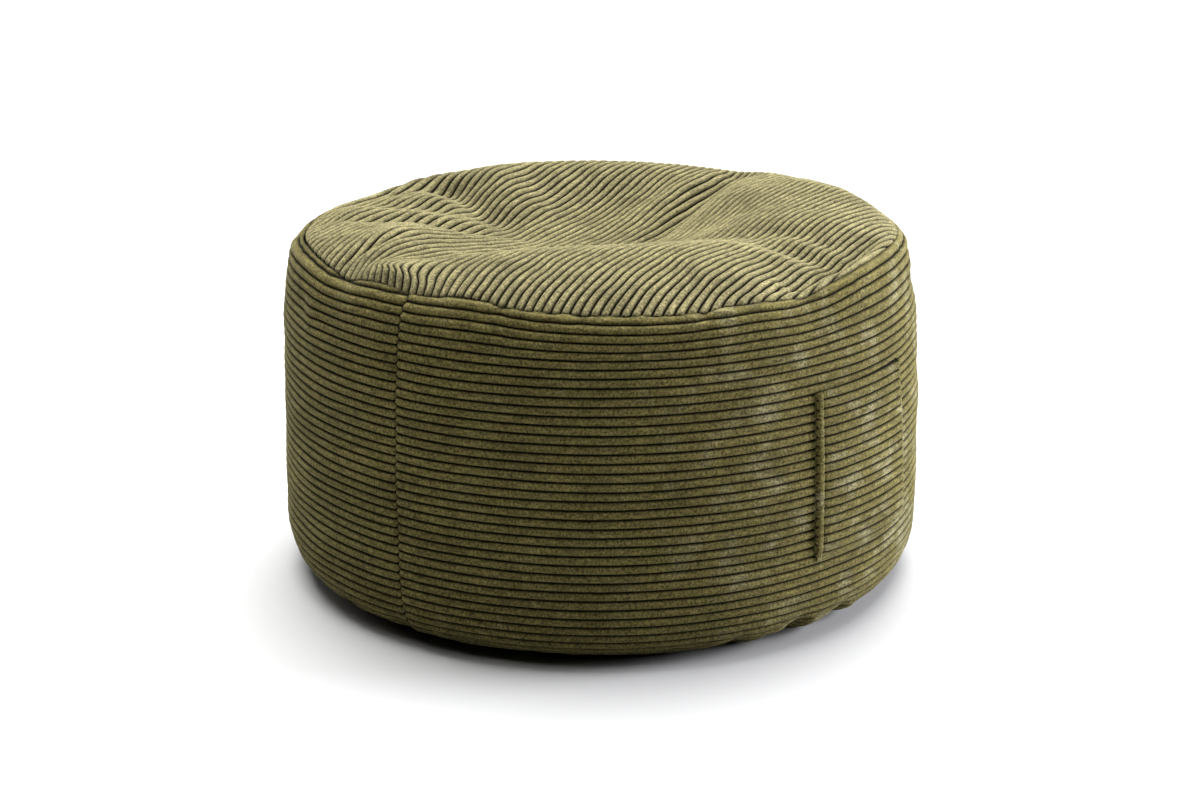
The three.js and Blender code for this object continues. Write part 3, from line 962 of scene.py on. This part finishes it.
# %% Sizes of the pocket
POCKET_LEFT = -14.5  # its edges, in degrees from the +X direction
POCKET_RIGHT = (12.0, 9.5)  # at the bottom and at the mouth
POCKET_BOTTOM = 83.0
POCKET_MOUTH = (248.0, 250.5)  # height of the mouth at its left and right corners
POCKET_THICK = 2.0
POCKET_HALF = 75.0  # half of the cloth's width, before it is fitted between the edges
POCKET_CLIMB = 0.5 * RIB_PITCH * 90 / 360  # the band's ribs have climbed this far at the pocket
RIB_SHIFT = 3.0  # and its own ribs are this far off them
LEFT_ROLL = [  # distance in from the left edge, how far the face stands out
    (0, 0.4), (0.3, 2.3), (0.7, 3.2), (1.5, 3.6), (3.6, 3.8), (4.6, 3.3), (5.3, 2.2), (6.0, 3.0),
    (8, 4.0), (14, 4.8), (30, 5.5), (160, 5.8),
]
RIGHT_ROLL = [  # the same for the right edge
    (0, 0.4), (0.6, 3.0), (1.4, 4.2), (2.4, 4.1), (3.2, 2.0), (4.0, 2.0), (5.2, 4.9), (8, 5.5),
    (13, 5.6), (30, 5.7), (160, 5.8),
]
CORD_SHARE = 0.24  # on the left roll, points are drawn this far towards their rib's middle
# the stitch row flattens the ribs and is painted as a dark line, a painted shadow along the right edge
STITCH_AND_SHADE_ROW = 2.6  # the stitches' distance in from the right edge
STITCH_AND_SHADE_WIDTH = 1.3
EDGE_STEPS = (0, 0.6, 1.1, 1.6, 2.3, 3.0, 3.7, 4.4, 5.0, 5.6, 6.6, 8, 10.5, 14)  # points by each edge
INNER_FROM, INNER_STEPS = 19.0, 50  # and between them
FOOT_SHARE, FOOT_REACH = 0.12, 16.0  # the pocket stands out little at its bottom seam
MOUTH_DIP, MOUTH_REACH, MOUTH_EDGE = 2.0, 40.0, 14.0  # it lies closer to the band near the mouth
HEM_STEP, HEM_WIDTH = 0.6, 2.5
print(f"the pocket stands out by up to {max(out for _, out in LEFT_ROLL + RIGHT_ROLL)} mm")

# %% [markdown]
# The pocket's columns stand closest together by its two edges, where the cloth turns
# sharply. Its rows are lengths of cloth too, so its ribs are as wide as the band's.

# %% Shape of the pocket


def pocket_grid():
    """Each point's cloth length and place across the pocket, and its distance to bottom and mouth."""
    bottom, *mouth = np.interp((POCKET_BOTTOM, *POCKET_MOUTH), profile_height, profile_length)
    across = np.concatenate([(k + np.array(RIB_STEPS)) * RIB_PITCH for k in range(-40, 2)])
    length = FIRST_GROOVE + RIB_SHIFT + across + POCKET_CLIMB
    length = np.concatenate([[bottom], length[(length > bottom + 0.3) & (length < max(mouth) + 8)]])
    left_steps = np.array(EDGE_STEPS) - POCKET_HALF
    inner_steps = np.linspace(INNER_FROM - POCKET_HALF, POCKET_HALF - INNER_FROM, INNER_STEPS)
    aside = np.concatenate([left_steps, inner_steps, -left_steps[::-1]])
    length, aside = np.meshgrid(length, aside, indexing="ij")
    top = mouth[0] + (mouth[1] - mouth[0]) * (aside / POCKET_HALF + 1) / 2
    length = np.minimum(length, top)
    return length, aside, length - bottom, top - length


def pocket_lift(edge, left, foot, hem):
    """How far the pocket's face stands out from the band."""
    stand = np.where(left, smooth_read(LEFT_ROLL, edge), smooth_read(RIGHT_ROLL, edge))
    lift = stand * (FOOT_SHARE + (1 - FOOT_SHARE) * smooth_step(0, FOOT_REACH, foot))
    lift = lift - MOUTH_DIP * smooth_step(MOUTH_REACH, 0, hem) * smooth_step(0, MOUTH_EDGE, edge)
    return lift - HEM_STEP * smooth_step(HEM_WIDTH, 0, hem)


def pocket_wale(length, edge, left):
    """How far each point lies across the ribs, drawn towards the ribs' middles on the left roll."""
    wale = length - FIRST_GROOVE - RIB_SHIFT - POCKET_CLIMB
    middle = (np.floor(wale / RIB_PITCH) + 0.5) * RIB_PITCH
    cord = CORD_SHARE * left * smooth_step(0.1, 1.0, edge) * smooth_step(5.6, 4.4, edge)
    return middle + (wale - middle) * (1 - cord)


print("points across the pocket:", pocket_grid()[0].shape[1])

# %% [markdown]
# The pocket is a sheet with a face, a back and a rim that joins them. Only the face has
# ribs, so the back is marked as sewn flat.

# %% Pocket


def make_pocket():
    length, aside, foot, hem = pocket_grid()
    edge, left = POCKET_HALF - np.abs(aside), aside < 0
    lift = pocket_lift(edge, left, foot, hem)
    height = np.interp(length, profile_length, profile_height)
    radius = np.interp(length, profile_length, profile_radius)
    right = POCKET_RIGHT[0] + (POCKET_RIGHT[1] - POCKET_RIGHT[0]) * foot / (foot + hem)
    turn = np.radians(POCKET_LEFT + (right - POCKET_LEFT) * (aside / POCKET_HALF + 1) / 2)
    face = round_points(radius + lift, turn, height).reshape(-1, 3)
    back = round_points(radius + np.clip(lift - POCKET_THICK, 0.2, None), turn, height).reshape(-1, 3)

    front = grid_faces(*lift.shape)
    rim = grid_rim(*lift.shape)
    faces = [*front.tolist(), *(front[:, ::-1] + lift.size).tolist()]
    faces += bridge(rim, [number + lift.size for number in rim])
    sewn = bell(foot, 0.8) + 0.8 * bell(hem, 0.6)
    # the stitch row is marked sewn, which flattens its ribs and paints it with the dark groove colour: a
    # painted shadow line
    sewn = sewn + 0.95 * ~left * bell(edge - STITCH_AND_SHADE_ROW, STITCH_AND_SHADE_WIDTH)
    wale = pocket_wale(length, edge, left).ravel()
    return mesh_piece(
        "pocket_cover", np.concatenate([face, back]), faces,
        np.concatenate([wale, wale]) * MM,
        np.concatenate([aside.ravel(), aside.ravel()]) * MM,
        with_ends(np.minimum(sewn, 1), 0, lift.size, 1))


pocket = bake_tree(make_pocket(), rib_tree, {**RIBS, "Cloth": corduroy_side})
print("pocket:", len(pocket.data.polygons), "faces")

# %% [markdown]
# ## The base panel
#
# The base can't be seen, so it is finished plainly, as a thin round of dark woven cloth.
# A fine checker in two shades is enough for the weave.

# %% Base panel
BASE_THICK = 3.0
BASE_COLUMNS = 120
BASE_COLOUR = (0.09, 0.085, 0.06)
WEAVE_SCALE = 700  # checks in a metre


def make_base():
    low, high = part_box("base_panel")
    radius = (high[0] - low[0]) / 2 / MM
    turn = np.linspace(0, 2 * math.pi, BASE_COLUMNS, endpoint=False)
    outline = ((radius - 1, 0), (radius, 1), (radius, BASE_THICK - 0.4), (radius - 1, BASE_THICK))
    rings = [round_points(r, turn, height) for r, height in outline]
    faces = grid_faces(len(rings), BASE_COLUMNS, wrap=True).tolist() + end_fans(len(rings), BASE_COLUMNS)
    return mesh_piece("base_panel_cover", np.concatenate([*rings, [[0, 0, 0]], [[0, 0, BASE_THICK]]]), faces)


def woven(name, colour):
    material = bpy.data.materials.new(name)
    material.use_nodes = True
    tree = material.node_tree
    weave = node(tree, "ShaderNodeTexChecker", {
        "Vector": node(tree, "ShaderNodeTexCoord").outputs["Object"],
        "Scale": WEAVE_SCALE,
        "Color1": (*colour, 1),
        "Color2": (*[c * 0.7 for c in colour], 1),
    })
    bump = node(tree, "ShaderNodeBump", {"Height": weave.outputs["Fac"], "Distance": 0.2 * MM})
    feed(tree, tree.nodes["Principled BSDF"], {
        "Base Color": weave.outputs["Color"], "Roughness": 0.85, "Normal": bump.outputs[0],
    })
    return material


base_panel = make_base()
base_panel.data.materials.append(woven("base_cloth", BASE_COLOUR))
print("base panel:", len(base_panel.data.polygons), "faces")

# %% [markdown]
# ## What each piece stands for
#
# Every piece rides on the one CAD body and hides the plain solid that it stands for.

PIECES = (  # piece, the CAD node that it stands for, finish
    (top_panel, "top_panel", "corduroy_top"),
    (side_band, "side_band", "corduroy_side"),
    (base_panel, "base_panel", "base_cloth"),
    (pocket, "pocket", "corduroy_side"),
)
for piece, node_name, slot in PIECES:
    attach(piece, "root")
    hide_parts(node_name)
print("pieces declared:", len(PIECES))

# %% [markdown]
# ## The floor
#
# A plain floor. Its paint is a mid grey, which the lamps lift to nearly white, so that the
# bag's own shadow still has room to show.

# %% Floor
FLOOR_HALF = 14
FLOOR_GREY = 0.40

floor_mesh = bpy.data.meshes.new("floor")
floor_corners = [(x * FLOOR_HALF, y * FLOOR_HALF, 0) for x, y in ((-1, -1), (1, -1), (1, 1), (-1, 1))]
floor_mesh.from_pydata(floor_corners, [], [(0, 1, 2, 3)])
floor = bpy.data.objects.new("floor", floor_mesh)
bpy.context.scene.collection.objects.link(floor)
floor_paint = bpy.data.materials.new("floor_paint")
floor_paint.use_nodes = True
feed(floor_paint.node_tree, floor_paint.node_tree.nodes["Principled BSDF"], {
    "Base Color": (FLOOR_GREY, FLOOR_GREY, FLOOR_GREY, 1), "Roughness": 0.9,
})
floor_mesh.materials.append(floor_paint)
print("the floor is", 2 * FLOOR_HALF, "m wide")

# %% [markdown]
# ## The light
#
# Ribs show best when light rakes over them. A broad high light from behind models the top
# and lays a soft shadow on the floor in front, and a weaker one overhead fills the seat. A
# large lamp low on the right rakes across the band, and a faint one behind on the left
# keeps detail on the shaded side. The world is dark, so the lamps decide everything. The
# angle of a sun lamp says how soft it is, as the size of an area lamp does.

# %% Light
NEUTRAL, COOL = (1.0, 1.0, 1.0), (0.99, 1.0, 1.07)
LAMPS = [  # name, kind, turn from the camera, height angle, softness or size, strength, colour
    ("back_light", "SUN", 184, 66, 60, 8.8, NEUTRAL),
    ("overhead_light", "SUN", 0, 90, 60, 1.9, NEUTRAL),
    ("right_softbox", "AREA", 90, 14, 0.8, 70, COOL),
    ("left_softbox", "AREA", -120, 18, 0.9, 5.0, NEUTRAL),
]
LAMP_DISTANCE = 1.95
LAMP_AIM = Vector((0, 0, 0.15))

for name, kind, aside, up, softness, strength, colour in LAMPS:
    lamp = bpy.data.objects.new(name, bpy.data.lights.new(name, kind))
    lamp.data.energy = strength
    lamp.data.color = colour
    if kind == "SUN":
        lamp.data.angle = math.radians(softness)
    else:
        lamp.data.size = softness
    around, above = math.radians(VIEW_TURN + aside), math.radians(up)
    away = Vector((
        math.sin(around) * math.cos(above),
        -math.cos(around) * math.cos(above),
        math.sin(above),
    ))
    lamp.location = LAMP_AIM + away * LAMP_DISTANCE
    lamp.rotation_euler = away.to_track_quat("Z", "Y").to_euler()
    bpy.context.scene.collection.objects.link(lamp)
world = bpy.data.worlds.new("dark_world")
world.use_nodes = True
world.node_tree.nodes["Background"].inputs["Strength"].default_value = 0.0
bpy.context.scene.world = world
bpy.context.scene.view_settings.view_transform = "Standard"
print("lamps:", len(LAMPS))

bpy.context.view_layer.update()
print(f"made in {time.perf_counter() - STARTED:.1f} s")
